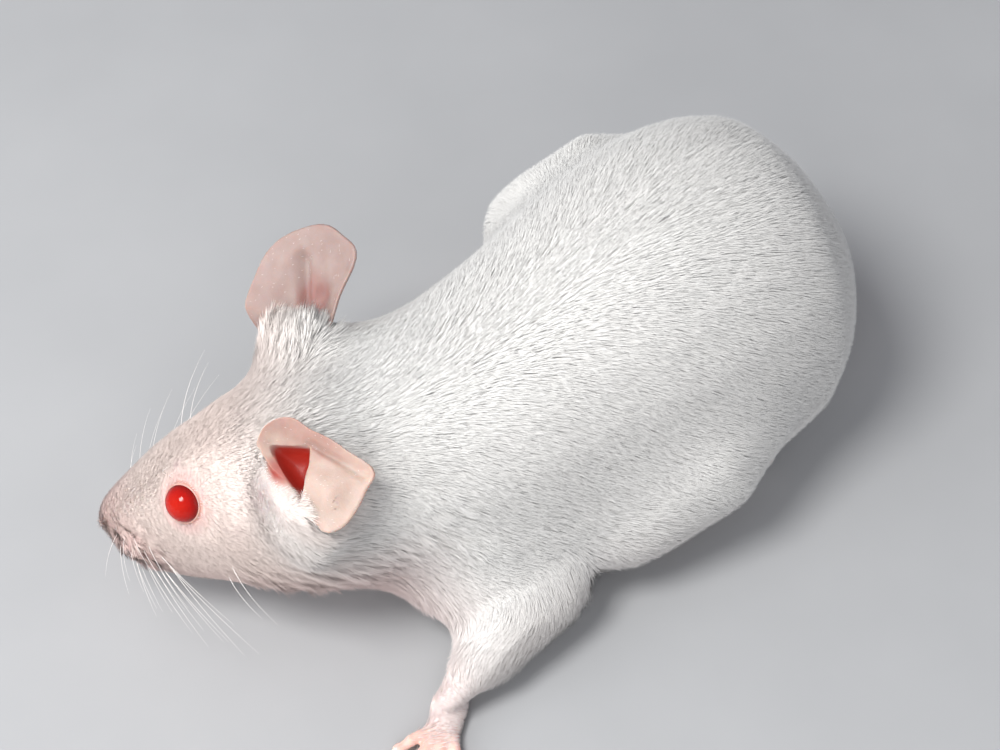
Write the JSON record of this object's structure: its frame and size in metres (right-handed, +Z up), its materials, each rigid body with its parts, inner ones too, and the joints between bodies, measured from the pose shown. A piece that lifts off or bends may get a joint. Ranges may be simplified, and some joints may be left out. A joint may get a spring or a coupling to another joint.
{
  "type": "white house mouse, life-size still model",
  "caption": "Albino house mouse crouched on its feet, nose lowered and turned aside, a forefoot reached out and the long tail curled along its flank.",
  "frame": {"origin": "on the floor, under the middle of the mouse's bounding box", "axes": "+X from the nose towards the rump, +Y to the mouse's right, +Z up"},
  "size_m": [0.0778, 0.0512, 0.032],
  "materials": {
    "coat": "short sleek white fur",
    "ear": "thin, nearly bare pink skin",
    "foot": "bare pink skin",
    "tail": "bare pink skin in fine scale rings",
    "eye": "wet and glossy, red"
  },
  "bodies": {
    "root": {"head": "coat", "neck": "coat", "trunk": "coat", "foreleg_left": "coat", "foreleg_right": "coat", "hindleg_left": "coat", "hindleg_right": "coat", "ear_left": "ear", "ear_right": "ear", "eye_left": "eye", "eye_right": "eye", "forefoot_left": "foot", "forefoot_right": "foot", "hindfoot_left": "foot", "hindfoot_right": "foot", "tail_base": "tail", "tail_middle": "tail", "tail_tip": "tail"}
  },
  "joints": []
}
